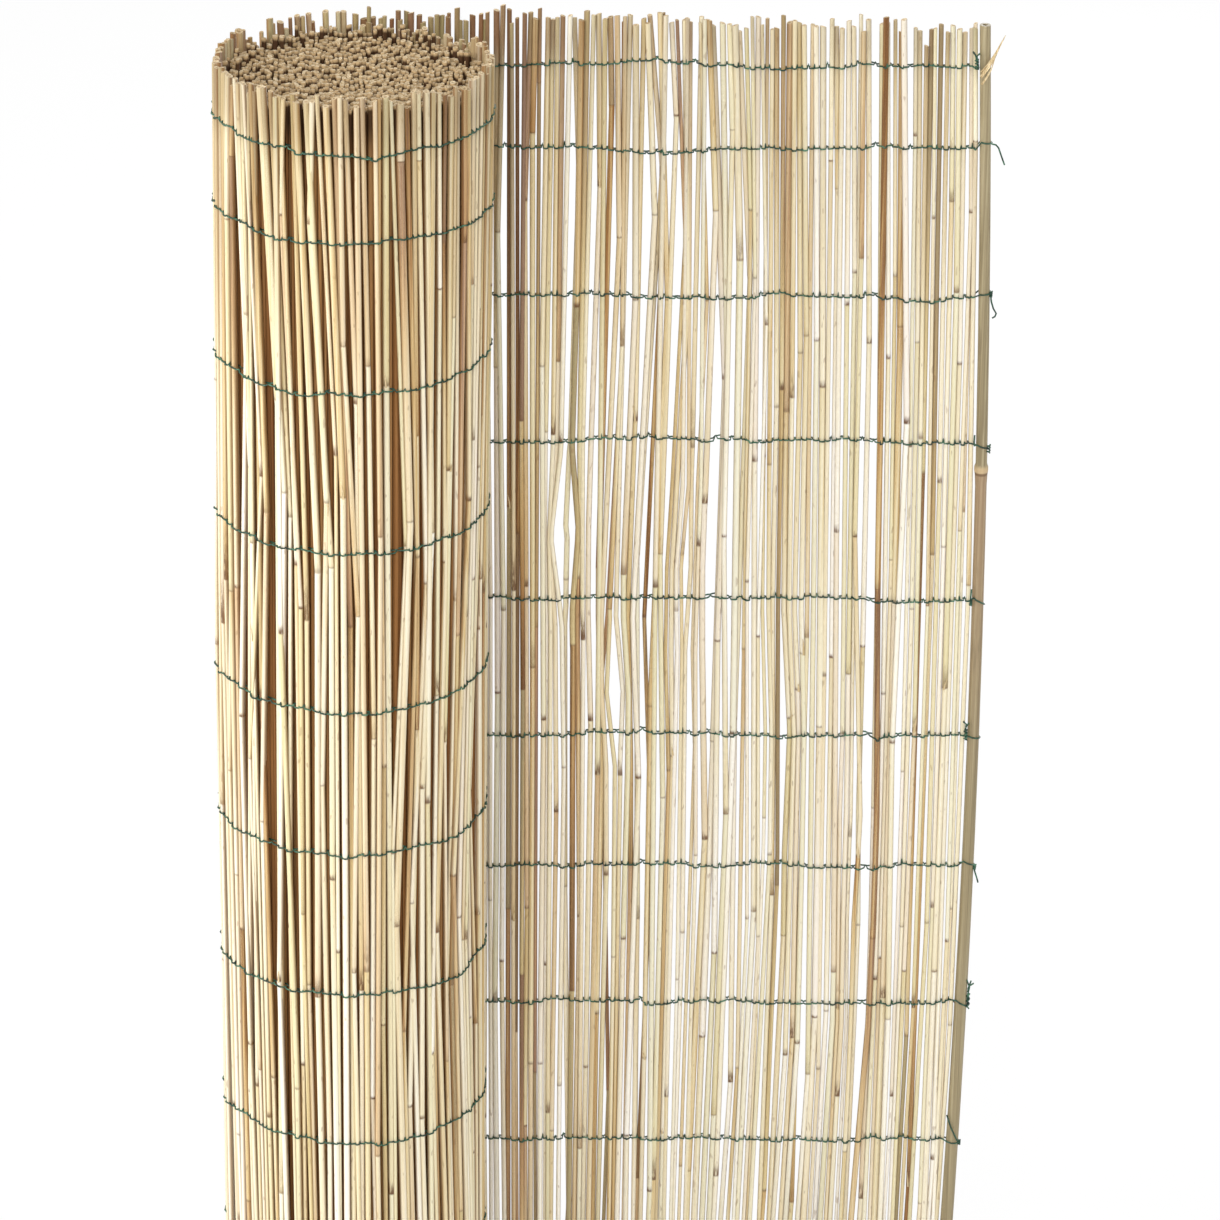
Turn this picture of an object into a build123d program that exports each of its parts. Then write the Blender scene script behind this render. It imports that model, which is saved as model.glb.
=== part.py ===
from build123d import *
from math import asin, cos, pi, radians, sin, sqrt
import os

# Peeled reed screening: a mat of reeds stitched with rows of wire, rolled up but for
# its free end and standing on the reeds' cut ends. Millimetres, +Z up along the reeds,
# +X along the open flap towards its end cane, and the flap at the back of the roll (+Y).

# Mat
MAT_LENGTH = 5000.0
MAT_HEIGHT = 1000.0
FLAP_LENGTH = 400.0
REED_DIAMETER = 4.4
REED_PITCH = 4.7
REED_CREST = 1.4
REED_WEB = 1.6

# Roll
TURN_GAP = 0.8
CORE_RADIUS = 6.0
INNER_TURN_DROP = 9.0
OUTER_TURN_FACETS = 20
CORE_TURN_FACETS = 12

# Gaps between parted reeds of the flap, each a tall slit with pointed ends that a few wires cross
GAPS_ACROSS = 33
GAP_TIERS = 3
GAP_WIDTH = 2.8
GAP_POINT = 12.0
GAP_WIRE_MARGIN = 6.0
GAP_STAGGER = 0.37

# Stitch wires
WIRE_ROWS = 11
EDGE_MARGIN = 27.0
EDGE_BAY = 57.0
WIRE_THICKNESS = 1.0
WIRE_HEIGHT = 1.4
WIRE_CLEARANCE = 0.15
WIRE_TUCK = 27.0
WIRE_ROLL_FACETS = 20
WIRE_CANE_FACETS = 6
WIRE_CANE_WRAP = radians(240)

# End cane
CANE_TOP_DIAMETER = 7.0
CANE_FOOT_DIAMETER = 9.0
CANE_BORE = 3.0
CANE_NODE_BELOW_TOP = 307.0
CANE_NODE_HEIGHT = 9.0
CANE_NODE_LIP = 0.6
CANE_WAIST = 0.15
CANE_SEPTUM = 3.0
CANE_CLEARANCE = 0.3

# Sizes that follow
TURN_PITCH = REED_DIAMETER + TURN_GAP
CREST = REED_DIAMETER / 2
VALLEY = REED_WEB / 2
FLAP_REEDS = round(FLAP_LENGTH / REED_PITCH)
FLAP_END = FLAP_REEDS * REED_PITCH
ROLL_RADIUS = sqrt((MAT_LENGTH - FLAP_END) * TURN_PITCH / pi + CORE_RADIUS**2)
CORE_ANGLE = 2 * pi * (ROLL_RADIUS - CORE_RADIUS) / TURN_PITCH
CANE_NODE_Z = MAT_HEIGHT - CANE_NODE_BELOW_TOP


def turn_radius(angle):
    """Radius of the rolled mat's middle, where angle is wound from the back over the left."""
    return ROLL_RADIUS - TURN_PITCH * angle / (2 * pi)


def roll_point(angle, offset):
    """Plan point at an angle of the roll, offset outwards from the mat's middle."""
    radius = turn_radius(angle) + offset
    return (-radius * sin(angle), radius * cos(angle))


def cane_radius(z):
    return (CANE_FOOT_DIAMETER + (CANE_TOP_DIAMETER - CANE_FOOT_DIAMETER) * z / MAT_HEIGHT) / 2


def cane_x():
    """The cane's axis, where its thickest place is just clear of the last reed."""
    node_radius = cane_radius(CANE_NODE_Z) + CANE_NODE_LIP
    return FLAP_END + CANE_CLEARANCE + max(cane_radius(0), cane_radius(MAT_HEIGHT), node_radius)


def wire_heights():
    """Heights of the stitch rows from the top down: close at both edges, even between."""
    pitch = (MAT_HEIGHT - 2 * EDGE_MARGIN - 2 * EDGE_BAY) / (WIRE_ROWS - 3)
    top = MAT_HEIGHT - EDGE_MARGIN
    inner = [top - EDGE_BAY - row * pitch for row in range(WIRE_ROWS - 2)]
    return [top] + inner + [EDGE_MARGIN]


def flap_face(side):
    """Ridged face of the flap from its free end to the roll; side is +1 at the back."""
    points = []
    for reed in reversed(range(FLAP_REEDS)):
        middle = (reed + 0.5) * REED_PITCH
        points.append((middle + REED_CREST / 2, ROLL_RADIUS + side * CREST))
        points.append((middle - REED_CREST / 2, ROLL_RADIUS + side * CREST))
        points.append((reed * REED_PITCH, ROLL_RADIUS + side * VALLEY))
    return points


def outer_turn_face():
    """Ridged outer face of the outermost turn, reed after reed round the roll."""
    points = []
    angle = 0.0
    while angle + REED_PITCH / turn_radius(angle) < 2 * pi:
        reed_angle = REED_PITCH / turn_radius(angle)
        crest_angle = REED_CREST / turn_radius(angle)
        points.append(roll_point(angle + (reed_angle - crest_angle) / 2, CREST))
        points.append(roll_point(angle + (reed_angle + crest_angle) / 2, CREST))
        points.append(roll_point(angle + reed_angle, VALLEY))
        angle += reed_angle
    return points


def turn_angles(start):
    """Corners of the plain turns from a start angle to the core, fewer in the inner half."""
    angles = []
    angle = start
    while angle < CORE_ANGLE:
        angles.append(angle)
        facets = OUTER_TURN_FACETS if turn_radius(angle) > ROLL_RADIUS / 2 else CORE_TURN_FACETS
        angle += 2 * pi / facets
    return angles


def mat_outline():
    """Closed plan outline of the mat: along its back and outer face, then along the other."""
    outer = flap_face(+1) + outer_turn_face()
    outer += [roll_point(angle, CREST) for angle in turn_angles(2 * pi)]
    inner = [roll_point(angle, -CREST) for angle in turn_angles(0.0)[1:]]
    free_end = [(FLAP_END, ROLL_RADIUS - VALLEY), (FLAP_END, ROLL_RADIUS + VALLEY)]
    return outer + list(reversed(inner)) + list(reversed(flap_face(-1))) + free_end


def inner_turns_region():
    """Plan region of every turn inside the outermost one, bounded halfway across the turn gap."""
    step = 2 * pi / OUTER_TURN_FACETS
    return [roll_point(corner * step, -TURN_PITCH / 2) for corner in range(OUTER_TURN_FACETS + 1)]


def prism(points, height):
    return extrude(make_face(Polyline(*points, close=True)), amount=height, dir=(0, 0, 1))


def reed_gap(x, low, high):
    """Cutter for one gap: a tall slit with pointed ends seen from the front, right through the flap."""
    side = GAP_WIDTH / 2
    corners = [
        (x, 0, low),
        (x + side, 0, low + GAP_POINT),
        (x + side, 0, high - GAP_POINT),
        (x, 0, high),
        (x - side, 0, high - GAP_POINT),
        (x - side, 0, low + GAP_POINT),
    ]
    front = Pos(0, ROLL_RADIUS - REED_DIAMETER, 0) * make_face(Polyline(*corners, close=True))
    return extrude(front, amount=2 * REED_DIAMETER, dir=(0, 1, 0))


def reed_gaps():
    """Gaps of the whole flap in tiers from wire to wire, staggered from tier to tier."""
    cutters = []
    heights = wire_heights()
    tier_ends = [heights[round(tier * (WIRE_ROWS - 1) / GAP_TIERS)] for tier in range(GAP_TIERS + 1)]
    first_reed = round(WIRE_TUCK / REED_PITCH)
    spacing = (FLAP_REEDS - first_reed) / GAPS_ACROSS
    for tier in range(GAP_TIERS):
        high = tier_ends[tier] - GAP_WIRE_MARGIN
        low = tier_ends[tier + 1] + GAP_WIRE_MARGIN
        for gap in range(GAPS_ACROSS):
            valley = first_reed + int((gap + tier * GAP_STAGGER % 1) * spacing)
            cutters.append(reed_gap(valley * REED_PITCH, low, high))
    return cutters


def reed_mat():
    """The mat as one wall: ridged flap and outer turn, plain inner turns set a little lower."""
    inner_tops = Pos(0, 0, MAT_HEIGHT - INNER_TURN_DROP) * prism(inner_turns_region(), 2 * INNER_TURN_DROP)
    return prism(mat_outline(), MAT_HEIGHT) - inner_tops - reed_gaps()


def internode(low, high):
    """Side of the cane between two heights, a little thinner half-way."""
    middle = (low + high) / 2
    waist = (cane_radius(middle) - 2 * CANE_WAIST, 0, middle)
    return Bezier((cane_radius(low), 0, low), waist, (cane_radius(high), 0, high))


def end_cane():
    """Tapered bamboo cane with one node: a raised lip outside and a closed septum inside."""
    bore = CANE_BORE / 2
    below = CANE_NODE_Z - CANE_NODE_HEIGHT / 2
    above = CANE_NODE_Z + CANE_NODE_HEIGHT / 2
    lip = (cane_radius(CANE_NODE_Z) + CANE_NODE_LIP, 0, CANE_NODE_Z)
    outside = [
        internode(0, below),
        ThreePointArc((cane_radius(below), 0, below), lip, (cane_radius(above), 0, above)),
        internode(above, MAT_HEIGHT),
    ]
    inside = Polyline(
        (cane_radius(MAT_HEIGHT), 0, MAT_HEIGHT),
        (bore, 0, MAT_HEIGHT),
        (bore, 0, CANE_NODE_Z + CANE_SEPTUM / 2),
        (0, 0, CANE_NODE_Z + CANE_SEPTUM / 2),
        (0, 0, CANE_NODE_Z - CANE_SEPTUM / 2),
        (bore, 0, CANE_NODE_Z - CANE_SEPTUM / 2),
        (bore, 0, 0),
        (cane_radius(0), 0, 0),
    )
    half = make_face(outside + [inside])
    return Pos(cane_x(), ROLL_RADIUS, 0) * revolve(half, axis=Axis.Z)


def wire_line(z, lift):
    """One side of a stitch wire in plan: flap front, round the cane, flap back, round the roll."""
    crest = CREST + WIRE_CLEARANCE + lift
    last_crest = FLAP_END - (REED_PITCH - REED_CREST) / 2
    points = [(WIRE_TUCK, ROLL_RADIUS - crest), (last_crest, ROLL_RADIUS - crest)]
    step = WIRE_CANE_WRAP / WIRE_CANE_FACETS
    round_cane = (cane_radius(z) + WIRE_CLEARANCE + lift) / cos(step / 2)
    for corner in range(WIRE_CANE_FACETS + 1):
        angle = corner * step - WIRE_CANE_WRAP / 2
        points.append((cane_x() + round_cane * cos(angle), ROLL_RADIUS + round_cane * sin(angle)))
    points.append((last_crest, ROLL_RADIUS + crest))
    end_angle = 2 * pi - asin(WIRE_TUCK / ROLL_RADIUS)
    step = end_angle / WIRE_ROLL_FACETS
    for corner in range(WIRE_ROLL_FACETS):
        angle = (corner + 0.5) * step
        slack = (turn_radius(angle) + crest) * (1 / cos(step / 2) - 1)
        points.append(roll_point(angle, crest + slack))
    points.append(roll_point(end_angle, crest))
    return points


def stitch_wire(z):
    """One row of stitching, flat against the ridges of both faces and looped round the cane."""
    outline = wire_line(z, 0.0) + list(reversed(wire_line(z, WIRE_THICKNESS)))
    return Pos(0, 0, z - WIRE_HEIGHT / 2) * prism(outline, WIRE_HEIGHT)


pieces = {"reed_mat": reed_mat(), "end_cane": end_cane()}
for row, height in enumerate(wire_heights(), start=1):
    pieces[f"stitch_wire_{row:02d}"] = stitch_wire(height)

# The origin is the middle of the whole object's footprint, at the reeds' lower ends.
boxes = [piece.bounding_box() for piece in pieces.values()]
middle_x = (min(box.min.X for box in boxes) + max(box.max.X for box in boxes)) / 2
middle_y = (min(box.min.Y for box in boxes) + max(box.max.Y for box in boxes)) / 2
os.makedirs("parts", exist_ok=True)
for name, piece in pieces.items():
    export_step(Pos(-middle_x, -middle_y, 0) * piece, f"parts/{name}.step")
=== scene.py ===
import math
import random
import bpy
import numpy as np
from mathutils import Matrix, Vector, noise


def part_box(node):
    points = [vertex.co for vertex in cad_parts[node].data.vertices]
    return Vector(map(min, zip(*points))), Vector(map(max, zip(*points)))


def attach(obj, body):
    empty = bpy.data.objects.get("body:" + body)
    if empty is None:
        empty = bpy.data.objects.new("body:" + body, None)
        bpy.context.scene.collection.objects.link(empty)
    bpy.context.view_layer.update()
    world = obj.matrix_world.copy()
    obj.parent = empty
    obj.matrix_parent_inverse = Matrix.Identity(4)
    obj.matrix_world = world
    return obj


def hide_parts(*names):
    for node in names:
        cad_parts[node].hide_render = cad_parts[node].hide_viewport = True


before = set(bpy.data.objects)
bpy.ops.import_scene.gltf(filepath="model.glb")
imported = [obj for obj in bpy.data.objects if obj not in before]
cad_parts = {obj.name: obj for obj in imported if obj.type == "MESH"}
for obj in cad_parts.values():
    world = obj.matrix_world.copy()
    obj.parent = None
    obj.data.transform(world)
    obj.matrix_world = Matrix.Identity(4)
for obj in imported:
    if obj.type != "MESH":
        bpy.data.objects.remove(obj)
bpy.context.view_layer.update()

# Flap reeds
# Peeled stems of common reed, hollow, two to five millimetres thick and cut to one length. They lie side by
# side in the open part of the mat, held only by the rows of wire, so they lean, kink and part between them.
mat_low, mat_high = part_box("reed_mat")
mat_thickness = 0.0044
turn_pitch = 0.0052
roll_radius = (mat_high[1] - mat_low[1] - mat_thickness + turn_pitch / 2) / 2
roll_x = mat_low[0] + roll_radius - turn_pitch / 4 + mat_thickness / 2
roll_y = mat_high[1] - mat_thickness / 2 - roll_radius
flap_y = roll_y + roll_radius
flap_length = mat_high[0] - roll_x
reed_length = mat_high[2]
station_count = 41
stations = [reed_length * step / (station_count - 1) for step in range(station_count)]
lots = random.Random(23)


def linear(red, green, blue):
    """Colour for a shader from the red, green and blue that the eye reads, 0 to 255."""
    shares = [value / 255 for value in (red, green, blue)]
    return [s / 12.92 if s <= 0.04045 else ((s + 0.055) / 1.055) ** 2.4 for s in shares] + [1.0]


def start_material(name):
    material = bpy.data.materials.new(name)
    material.use_nodes = True
    return material, material.node_tree, material.node_tree.nodes["Principled BSDF"]


def add_node(tree, kind, inputs=(), **settings):
    """New shader node with its settings, and its inputs given as values or as other nodes' outputs."""
    node = tree.nodes.new(kind)
    for key, value in settings.items():
        setattr(node, key, value)
    for socket, value in dict(inputs).items():
        if isinstance(value, bpy.types.NodeSocket):
            tree.links.new(value, node.inputs[socket])
        else:
            node.inputs[socket].default_value = value
    return node


def maths(tree, operation, first, second=0.0, third=0.0):
    return add_node(tree, "ShaderNodeMath", {0: first, 1: second, 2: third}, operation=operation).outputs[0]


def fade(tree, value, start, end, low=0.0, high=1.0):
    """Value that runs smoothly from low at start to high at end and stays there."""
    limits = {0: value, 1: start, 2: end, 3: low, 4: high}
    return add_node(tree, "ShaderNodeMapRange", limits, interpolation_type="SMOOTHSTEP").outputs[0]


def blend(tree, share, under, over):
    return add_node(tree, "ShaderNodeMix", {0: share, 6: under, 7: over}, data_type="RGBA").outputs[2]


def ramp(tree, share, stops):
    node = add_node(tree, "ShaderNodeValToRGB", {0: share})
    for place, colour in stops[1:-1]:
        node.color_ramp.elements.new(place).color = colour
    node.color_ramp.elements[0].position, node.color_ramp.elements[0].color = stops[0]
    node.color_ramp.elements[-1].position, node.color_ramp.elements[-1].color = stops[-1]
    return node.outputs[0]


def attribute(tree, name):
    return add_node(tree, "ShaderNodeAttribute", attribute_name=name).outputs["Fac"]


def grain(tree, coordinates, across, along, detail=1.0):
    """Noise drawn out along the stems: so many grains in a metre across and along."""
    mapped = add_node(tree, "ShaderNodeMapping", {0: coordinates, 3: (across, across, along)}).outputs[0]
    return add_node(tree, "ShaderNodeTexNoise", {"Vector": mapped, "Scale": 1.0, "Detail": detail}).outputs[0]


def speckle(tree, coordinates, scale):
    """Noise that is alike every way: so many grains in a metre."""
    inputs = {"Vector": coordinates, "Scale": scale, "Detail": 2.0}
    return add_node(tree, "ShaderNodeTexNoise", inputs).outputs[0]


def peeled_reed_skin():
    """Satin straw skin: each length between two joints has its own shade, and a smudge over its joint."""
    material, tree, skin = start_material("peeled reed")
    coordinates = add_node(tree, "ShaderNodeTexCoord").outputs["Object"]
    height = add_node(tree, "ShaderNodeSeparateXYZ", {0: coordinates}).outputs[2]
    tone = attribute(tree, "tone")
    knot = attribute(tree, "knot")
    # Stain towards the tip: real stain on most stems, and painted shade on the stems at the back of the roll.
    stain_and_shade = attribute(tree, "stain_and_shade")
    above = maths(tree, "FRACT", knot)
    number = maths(tree, "FLOOR", knot)
    place = add_node(tree, "ShaderNodeCombineXYZ", {0: maths(tree, "MULTIPLY", tone, 91.0), 1: number})
    own_tint = add_node(tree, "ShaderNodeVectorMath", {0: place.outputs[0], 1: (0.0, 0.0, 7.0)})
    length = add_node(tree, "ShaderNodeTexWhiteNoise", {0: place.outputs[0]}, noise_dimensions="3D")
    drawn = add_node(tree, "ShaderNodeSeparateColor", {0: length.outputs["Color"]})
    streak = grain(tree, coordinates, 760.0, 5.0)
    upper = fade(tree, height, 0.74, 0.94)
    shade = maths(tree, "MULTIPLY_ADD", length.outputs["Value"], 0.32, maths(tree, "MULTIPLY", tone, 0.64))
    shade = maths(tree, "MULTIPLY_ADD", streak, 0.60, maths(tree, "SUBTRACT", shade, 0.26))
    bleach = fade(tree, drawn.outputs[1], 0.0, 1.0, -0.42, 0.42)
    shade = maths(tree, "MULTIPLY_ADD", maths(tree, "SUBTRACT", above, 0.5), bleach, shade)
    upper_stain_and_shade = maths(tree, "MULTIPLY", upper, stain_and_shade)
    browned = maths(tree, "MULTIPLY", upper_stain_and_shade, 0.32)
    colour = ramp(tree, maths(tree, "SUBTRACT", shade, browned), [
        (0.0, linear(112, 72, 36)),
        (0.12, linear(164, 121, 70)),
        (0.28, linear(203, 173, 120)),
        (0.46, linear(222, 205, 164)),
        (0.66, linear(232, 221, 191)),
        (0.86, linear(239, 232, 213)),
        (1.0, linear(244, 239, 228)),
    ])
    tint_draw = add_node(tree, "ShaderNodeTexWhiteNoise", {0: own_tint.outputs[0]}, noise_dimensions="3D")
    tint = tint_draw.outputs["Value"]
    colour = blend(tree, fade(tree, tint, 0.6, 1.0, 0.0, 0.30), colour, linear(216, 192, 174))
    colour = blend(tree, fade(tree, tint, 0.45, 0.0, 0.0, 0.45), colour, linear(212, 207, 160))
    weathering_and_shade = maths(tree, "MULTIPLY", upper_stain_and_shade, fade(tree, drawn.outputs[2], 0.45, 0.75))
    colour = blend(tree, maths(tree, "MULTIPLY", weathering_and_shade, 0.7), colour, linear(166, 142, 110))
    # Tips turn brown with the stain, which is painted shade on the back rim of the roll.
    tips = maths(tree, "MULTIPLY", fade(tree, height, 0.955, 0.99), maths(tree, "POWER", stain_and_shade, 1.5))
    greenish = fade(tree, drawn.outputs[0], 0.3, 0.9)
    tip_colour = blend(tree, greenish, linear(108, 68, 38), linear(150, 136, 92))
    colour = blend(tree, maths(tree, "MULTIPLY", tips, 0.9), colour, tip_colour)
    reach = maths(tree, "MULTIPLY_ADD", maths(tree, "POWER", drawn.outputs[1], 5.0), 0.07, 0.011)
    smudge = fade(tree, maths(tree, "DIVIDE", above, reach), 1.0, 0.1)
    smudge = maths(tree, "MULTIPLY", smudge, fade(tree, drawn.outputs[0], 0.2, 0.8, 0.2, 0.95))
    patches = fade(tree, grain(tree, coordinates, 620.0, 160.0), 0.3, 0.55, 0.25, 1.0)
    smudge = maths(tree, "MULTIPLY", smudge, patches)
    colour = blend(tree, smudge, colour, linear(100, 66, 38))
    edge = maths(tree, "PINGPONG", knot, 0.5)
    colour = blend(tree, fade(tree, edge, 0.005, 0.001, 0.0, 0.4), colour, linear(104, 74, 48))
    specks = fade(tree, grain(tree, coordinates, 420.0, 110.0), 0.68, 0.76, 0.0, 0.4)
    colour = blend(tree, specks, colour, linear(140, 108, 74))
    # Painted shade: each stem's sides are darkened towards brown, as the shade in the slits between stems.
    painted_slit_shade = fade(tree, attribute(tree, "side"), 0.55, 1.0, 0.0, 0.8)
    colour = blend(tree, painted_slit_shade, colour, linear(134, 96, 54))
    tree.links.new(colour, skin.inputs["Base Color"])
    fibres = grain(tree, coordinates, 2600.0, 22.0)
    tree.links.new(fade(tree, fibres, 0.2, 0.8, 0.40, 0.60), skin.inputs["Roughness"])
    bump = add_node(tree, "ShaderNodeBump", {"Height": fibres, "Strength": 0.25, "Distance": 0.0004})
    tree.links.new(bump.outputs[0], skin.inputs["Normal"])
    skin.inputs["Specular IOR Level"].default_value = 0.3
    return material


def cut_reed_end():
    """Sawn end of a stem: tan fibrous wall, with painted shade that turns it brown down inside the hollow."""
    material, tree, skin = start_material("cut reed end")
    coordinates = add_node(tree, "ShaderNodeTexCoord").outputs["Object"]
    fibre = speckle(tree, coordinates, 1300.0)
    mottle = maths(tree, "MULTIPLY_ADD", fibre, 0.9, -0.2)
    shade = maths(tree, "MULTIPLY_ADD", attribute(tree, "tone"), 0.45, mottle)
    wall = ramp(tree, shade, [
        (0.0, linear(158, 130, 92)),
        (0.35, linear(212, 189, 151)),
        (0.7, linear(234, 215, 181)),
        (1.0, linear(245, 232, 205)),
    ])
    # Painted shade: the wall darkens to brown towards the floor of the hollow.
    colour = blend(tree, fade(tree, attribute(tree, "hollow"), 0.05, 0.9), wall, linear(104, 73, 42))
    tree.links.new(colour, skin.inputs["Base Color"])
    bump = add_node(tree, "ShaderNodeBump", {"Height": fibre, "Strength": 0.4, "Distance": 0.0006})
    tree.links.new(bump.outputs[0], skin.inputs["Normal"])
    skin.inputs["Roughness"].default_value = 0.8
    skin.inputs["Specular IOR Level"].default_value = 0.2
    return material


reed_skin = peeled_reed_skin()
reed_end = cut_reed_end()
hollow_depth = 0.5
skin_band = (0.03, 0.92)
end_patch = (0.965, 0.02)
foot_patch = (0.014, 0.01)


def reed_stem(ring_count, sides, wall, skin):
    """Stem to copy: rings one unit apart, and open at its upper end."""
    bpy.ops.object.select_all(action="DESELECT")
    bpy.ops.mesh.primitive_circle_add(vertices=sides, radius=1.0, fill_type="NGON", location=(0, 0, 0))
    stem = bpy.context.object
    bpy.ops.object.mode_set(mode="EDIT")
    bpy.ops.mesh.select_all(action="SELECT")
    for _ in range(ring_count - 1):
        bpy.ops.mesh.extrude_region_move(TRANSFORM_OT_translate={"value": (0, 0, 1)})
    bpy.ops.mesh.inset(thickness=wall)
    bpy.ops.mesh.extrude_region_move(TRANSFORM_OT_translate={"value": (0, 0, -hollow_depth)})
    bpy.ops.mesh.select_all(action="SELECT")
    bpy.ops.mesh.normals_make_consistent(inside=False)
    bpy.ops.object.mode_set(mode="OBJECT")
    mesh = stem.data
    mesh.materials.append(skin)
    mesh.materials.append(reed_end)
    for name in ("tone", "knot", "stain_and_shade", "hollow", "side"):
        mesh.attributes.new(name, "FLOAT", "POINT")
    strip = mesh.uv_layers.new(name="OFBake").data
    for face in mesh.polygons:
        corners = [mesh.vertices[vertex].co for vertex in face.vertices]
        rim = any(math.hypot(corner.x, corner.y) < 0.9 for corner in corners)
        foot = all(corner.z < 0.5 for corner in corners)
        face.material_index = 1 if rim or foot else 0
        face.use_smooth = not (rim or foot)
        middle = math.atan2(face.center.y, face.center.x)
        for loop, corner in zip(face.loop_indices, corners):
            if rim or foot:
                middle_v, size_v = foot_patch if foot else end_patch
                strip[loop].uv = (0.5 + 0.45 * corner.x, middle_v + size_v * corner.y)
            else:
                swing = math.atan2(corner.y, corner.x) - middle
                swing = (swing + math.pi) % (2 * math.pi) - math.pi
                strip[loop].uv = ((middle + math.pi + swing) / (2 * math.pi), -1.0)
    return stem


def shaped_stem(stem, strip, rings, phases, marks, squash=1.0, turn=0.0, slant=(0.0, 0.0), depth=0.009):
    """Copy of a stem with its own rings, each (x, y, height, radius), cut end, marks and strip of the mat.

    The marks are its tone, its stain towards the tip, which is partly painted shade, and how much painted
    shade darkens its sides.
    """
    mesh = stem.data.copy()
    places = np.empty(3 * len(mesh.vertices))
    mesh.vertices.foreach_get("co", places)
    places = places.reshape(-1, 3)
    top = len(rings) - 1
    inside = np.hypot(places[:, 0], places[:, 1]) < 0.9
    hollow_floor = inside & (places[:, 2] < top - hollow_depth / 2)
    ring = np.where(inside, top, np.rint(places[:, 2])).astype(int)
    own = np.array(rings)[ring]
    across = places[:, 0] * own[:, 3]
    along = places[:, 1] * own[:, 3] * squash
    shaped = np.empty_like(places)
    shaped[:, 0] = own[:, 0] + across * math.cos(turn) - along * math.sin(turn)
    shaped[:, 1] = own[:, 1] + across * math.sin(turn) + along * math.cos(turn)
    shaped[:, 2] = own[:, 2] - hollow_floor * depth
    shaped[:, 2] += (ring == top) * (across * slant[0] + along * slant[1])
    mesh.vertices.foreach_set("co", shaped.ravel())
    tone, stain_and_shade, side_shade = marks
    mesh.attributes["tone"].data.foreach_set("value", np.full(len(places), tone))
    mesh.attributes["stain_and_shade"].data.foreach_set("value", np.full(len(places), stain_and_shade))
    mesh.attributes["side"].data.foreach_set("value", np.abs(places[:, 0]) * side_shade)
    mesh.attributes["knot"].data.foreach_set("value", np.array(phases)[ring])
    mesh.attributes["hollow"].data.foreach_set("value", hollow_floor.astype(float))
    corner = np.empty(len(mesh.loops), dtype=int)
    mesh.loops.foreach_get("vertex_index", corner)
    layer = mesh.uv_layers["OFBake"].data
    flat = np.empty(2 * len(mesh.loops))
    layer.foreach_get("uv", flat)
    flat = flat.reshape(-1, 2)
    number, count = strip
    flat[:, 0] = (number + 0.06 + 0.88 * flat[:, 0]) / count
    band = skin_band[0] + (skin_band[1] - skin_band[0]) * shaped[corner, 2] / (1.02 * reed_length)
    flat[:, 1] = np.where(flat[:, 1] < 0, band, flat[:, 1])
    layer.foreach_set("uv", flat.ravel())
    piece = bpy.data.objects.new("stem", mesh)
    bpy.context.collection.objects.link(piece)
    return piece


def joined(stems, name):
    """All these stems as one piece."""
    bpy.ops.object.select_all(action="DESELECT")
    for stem in stems:
        stem.select_set(True)
    bpy.context.view_layer.objects.active = stems[0]
    bpy.ops.object.join()
    piece = bpy.context.object
    piece.name = name
    piece.data.name = name
    return piece


def kept_near(middle, spread, low, high):
    """Random value about a middle, kept between two limits."""
    return min(max(lots.gauss(middle, spread), low), high)


def spread_stems(count, thickness, lengths, seed):
    """Widths of neighbouring stems, and their middles along the mat at each station's height."""
    widths = [thickness * kept_near(1.0, 0.15, 0.72, 1.36) for _ in range(count)]
    slack = [lots.expovariate(2.0) + 0.50 for _ in range(count)]
    middles = []
    for length, height in zip(lengths, stations):
        gaps = []
        for stem in range(count):
            drift = noise.noise(Vector((stem * 3.7, height * 4.5, seed)))
            gaps.append(slack[stem] * max(0.06, 1 + 1.6 * drift))
        scale = (length - sum(widths)) / sum(gaps)
        place = 0.0
        row = []
        for stem in range(count):
            row.append(place + widths[stem] / 2)
            place += widths[stem] + gaps[stem] * scale
        middles.append(row)
    return widths, middles


lean_waves_along = 10
lean_waves_up = 4.2
sway_waves = 3.4
depth_waves = 5.0


def lean(distance, height, reach, seed):
    """How far neighbouring stems lean aside together, at a distance along the mat."""
    return reach * noise.noise(Vector((distance * lean_waves_along, height * lean_waves_up, seed)))


def at_height(middles, stem, height):
    """Middle of a stem at a height, between the two nearest stations."""
    share = min(max(height / reed_length, 0.0), 0.9999) * (station_count - 1)
    low = int(share)
    return middles[low][stem] * (low + 1 - share) + middles[low + 1][stem] * (share - low)


def joint_heights(joints, top):
    """Heights of a stem's joints, as unevenly apart as on the grown reed."""
    pitch = top / (joints + lots.uniform(0.0, 0.6))
    start = lots.uniform(0.1, 0.9) * pitch
    heights = [start + pitch * joint + lots.uniform(-0.16, 0.16) * pitch for joint in range(joints)]
    return [min(max(height, 0.012), top - 0.012) for height in heights]


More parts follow.
